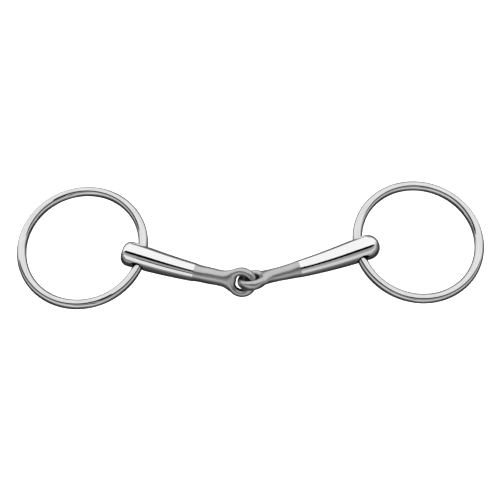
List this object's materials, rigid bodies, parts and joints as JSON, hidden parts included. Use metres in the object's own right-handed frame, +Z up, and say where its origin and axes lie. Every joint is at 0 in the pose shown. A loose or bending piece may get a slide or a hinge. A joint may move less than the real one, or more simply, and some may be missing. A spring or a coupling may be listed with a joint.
{
  "type": "loose ring snaffle bit",
  "caption": "Single-jointed loose ring snaffle bit: curved tapered cannons linked by turned eyes, each carrying a free round ring.",
  "frame": {"origin": "under the middle of the bit, on the surface that it lies on", "axes": "+X to the right ring, +Y to the side the cannons are hollow towards, +Z up"},
  "size_m": [0.2896, 0.082, 0.0157],
  "materials": {
    "ring_steel": "bright rolled stainless steel",
    "polished_steel": "mirror polish",
    "satin_steel": "satin, fine tumbled grain"
  },
  "bodies": {
    "left_cannon": {"left_cannon_barrel": "polished_steel", "left_cannon_eye": "satin_steel"},
    "right_cannon": {"right_cannon_barrel": "polished_steel", "right_cannon_eye": "satin_steel"},
    "left_ring": {"left_ring": "ring_steel"},
    "right_ring": {"right_ring": "ring_steel"}
  },
  "joints": [
    {"name": "centre_joint_fold", "type": "hinge", "parent": "left_cannon", "child": "right_cannon", "pos_m": [0.00018, -0.02694, 0.00649], "axis": [0.1888, 0.7756, 0.6023], "range_deg": [-90, 20]},
    {"name": "left_ring_swing", "type": "hinge", "parent": "left_cannon", "child": "left_ring", "pos_m": [-0.06741, -0.00863, 0.00784], "axis": [0.23, 0.9732, 0], "range_deg": [-100, 100]},
    {"name": "right_ring_swing", "type": "hinge", "parent": "right_cannon", "child": "right_ring", "pos_m": [0.06695, -0.00639, 0.00784], "axis": [-0.1702, 0.9854, 0], "range_deg": [-100, 100]}
  ]
}
